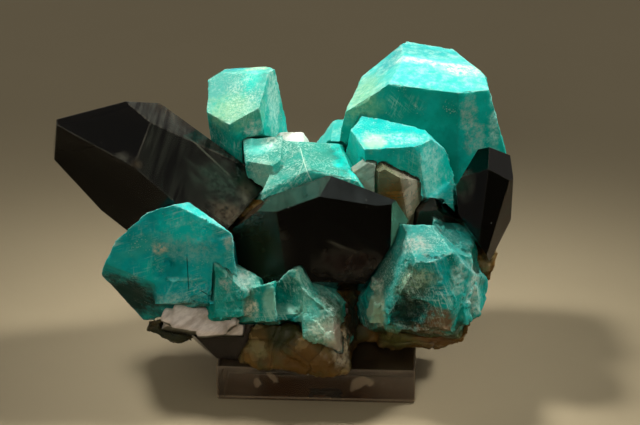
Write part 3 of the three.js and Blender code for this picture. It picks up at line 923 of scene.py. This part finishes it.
def make_quartz(name, node, turn, faces, slot="smoky_quartz", **look):
    """One crystal of QUARTZES. It keeps its flat faces, and only its edges are worn."""
    piece = solid_copy(node, name)
    wear_edges(piece, 0.35, FACET)
    frost_by_face(piece, faces)
    finish = smoky_quartz(name.replace("crystal", "smoke"), turn, **look)
    set_down(piece, node, finish, smooth_angle=10)


# ---- albite and rock ---------------------------------------------------------------------------

# Each piece by its solid: its finish, its body colour and its pale one, and its rounds of
# weathering. The plates overlap like scales, each a worn slab (centre, size, turn, wear).
ALBITES = {
    "albite_chip": dict(
        finish="white_albite", body="b4c4bc", pale="e6eee6", weathered=3,
    ),
    "albite_blade": dict(
        finish="teal_stained_albite", body="6f8a7e", pale="a9beb0", weathered=3,
    ),
    "albite_plates": dict(
        finish="pinkish_albite", body="b5a89e", pale="e2d8d0", weathered=16,
        out=[
            ((-62, -43, 27), (16, 16, 12), (0, 35, 0)),
            ((-47, -48, 24), (50, 20, 11), (35, 0, 0)),
            ((-28.5, -43, 27.5), (16, 18, 13), (0, -35, 0)),
        ],
        grown=[
            ((-49, -40, 36.5), (17, 4, 11), (-34, 10, 4), 1.9),
            ((-57, -38.8, 36), (10, 3.5, 7), (-30, 30, 14), 1.7),
            ((-41.5, -41, 35.5), (13, 4, 12), (-34, -8, -2), 1.9),
            ((-35, -40.3, 35.8), (8, 3.5, 7), (-34, -35, -8), 1.7),
        ],
    ),
}


def make_albite(node, finish, body, pale, weathered, out=(), grown=()):
    """One piece of ALBITES."""
    piece = solid_copy(node, node.replace("albite", "pale_albite"))
    break_out(piece, out)
    grow_on(piece, grown)
    even_skin(piece, wear=0.4, grid=0.45, weathered=weathered)
    carve_relief(piece, albite_relief, chip=0.3, chip_size=3.0)
    set_down(piece, node, albite(finish, body, pale))


# The stains, with one patch of painted shade, and the pale broken patches on the rock, as for
# feldspar_rock.
ROCK_TINTS = [
    ("54390c", 0.85, (-2, -47, 22), (16, 8, 6)),
    ("2a3018", 0.9, (-16, -44, 33), (12, 6, 6)),
    ("1f2c20", 0.9, (-61, -26, 22), (12, 10, 8)),
    ("54552a", 0.85, (34, -32, 22), (14, 9, 5)),
    ("6b4a2c", 0.8, (47, -32, 24), (8, 8, 5)),
    # painted shade in the recess between the front crystals
    ("1c150c", 0.9, (16, -30, 32), (8, 12, 14)),
]
ROCK_FROSTS = [
    ("b7ad94", 0.95, (11, -42, 26), (6, 8, 8)),
    ("8f8a6a", 0.7, (67, -14, 46), (4, 8, 10)),
    ("7d7a52", 0.6, (-24, -42, 24), (5, 5, 3)),
]


def make_rock():
    """The rock, with a corner off its foot at the right and a lump under the front steps."""
    rock = solid_copy("albite_matrix", "feldspar_matrix")
    break_out(rock, [((60.3, -27, 14.6), (30, 24, 14), (0, -35, 0), 3.0)])
    grow_on(rock, [((-2.5, -45.7, 26), (20, 8.5, 11), (0, 35, 0), 2.0)])
    even_skin(rock, wear=1.2, grid=0.8, weathered=12)
    carve_relief(rock, rock_relief, chip=1.5, chip_size=5.0)
    finish = feldspar_rock("iron_stained_feldspar", ROCK_TINTS, ROCK_FROSTS)
    set_down(rock, "albite_matrix", finish, smooth_angle=50)


# ---- display block -----------------------------------------------------------------------------

def make_block():
    """The clear block: sawn square, its edges broken by a narrow polished chamfer."""
    low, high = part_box("acrylic_base")
    low.z += 0.05 * MM  # air under it, so that its underside mirrors as a real one does
    block = plain_block((low + high) / 2, high - low)
    block.name = "clear_block"
    wear_edges(block, 0.8)
    set_down(block, "acrylic_base", clear_acrylic("polished_acrylic"),
             smooth_angle=20)


# ---- floor, light and camera -------------------------------------------------------------------

def make_floor():
    """A pale painted floor."""
    bpy.ops.object.select_all(action="DESELECT")
    bpy.ops.mesh.primitive_plane_add(size=6)
    floor = bpy.context.object
    floor.name = "floor"
    material, tree, place = new_finish("pale_floor_paint")
    colour = coat(tree, linear("94886d"), "9c9075", clouds(tree, place, 120))
    floor.data.materials.append(stone(tree, material, colour, 0.7, add(tree, "Bump")))


def aim(thing, target):
    """Turns a lamp or the camera towards a point."""
    thing.rotation_euler = (Vector(target) - thing.location).to_track_quat("-Z", "Y").to_euler()


def soft_lamp(name, place, colour, size, power, height, spread=180):
    """A round lamp aimed at a height over the middle of the block. spread is in degrees."""
    lamp = bpy.data.objects.new(name, bpy.data.lights.new(name, "AREA"))
    lamp.data.shape = "DISK"
    lamp.data.size = size
    lamp.data.energy = power
    lamp.data.color = linear(colour)[:3]
    lamp.data.spread = math.radians(spread)
    lamp.location = place
    bpy.context.scene.collection.objects.link(lamp)
    aim(lamp, (0, 0, height))


def make_light():
    """Two lamps above the specimen, left and right, a wide one for the room and a weak one in
    front, in a pale surrounding."""
    white, warm = "fffaf2", "fff4e4"
    soft_lamp("top_lamp", (-0.35, 0.16, 0.8), white, size=0.16, power=0.22, height=0.1, spread=28)
    soft_lamp("right_lamp", (0.58, 0.16, 0.66), white, size=0.16, power=0.21, height=0.1,
              spread=28)
    soft_lamp("room_lamp", (-1.0, -0.6, 1.3), warm, size=1.0, power=1.2, height=0.08)
    soft_lamp("front_lamp", (-0.1, -1.15, 0.72), warm, size=0.5, power=0.18, height=0.07,
              spread=40)
    world = bpy.data.worlds.new("soft_room")
    bpy.context.scene.world = world
    world.use_nodes = True
    world.node_tree.nodes["Background"].inputs["Color"].default_value = linear("e8e2d6")
    world.node_tree.nodes["Background"].inputs["Strength"].default_value = 0.3


def make_camera():
    """The camera looks 25 degrees down on the specimen, from a little to its right."""
    camera = bpy.data.objects.new("camera", bpy.data.cameras.new("camera"))
    camera.data.sensor_width = 36
    camera.data.lens = 136.2
    camera.location = (0.0419, -0.8936, 0.4829)
    bpy.context.scene.collection.objects.link(camera)
    aim(camera, (-0.0001, 0, 0.0657))
    bpy.context.scene.camera = camera


make_camera()
for name, crystal in AMAZONITES.items():
    make_amazonite(name, **crystal)
for name, crystal in QUARTZES.items():
    make_quartz(name, **crystal)
for name, piece in ALBITES.items():
    make_albite(name, **piece)
make_rock()
make_block()
make_floor()
make_light()
bpy.context.scene.view_settings.view_transform = "Standard"
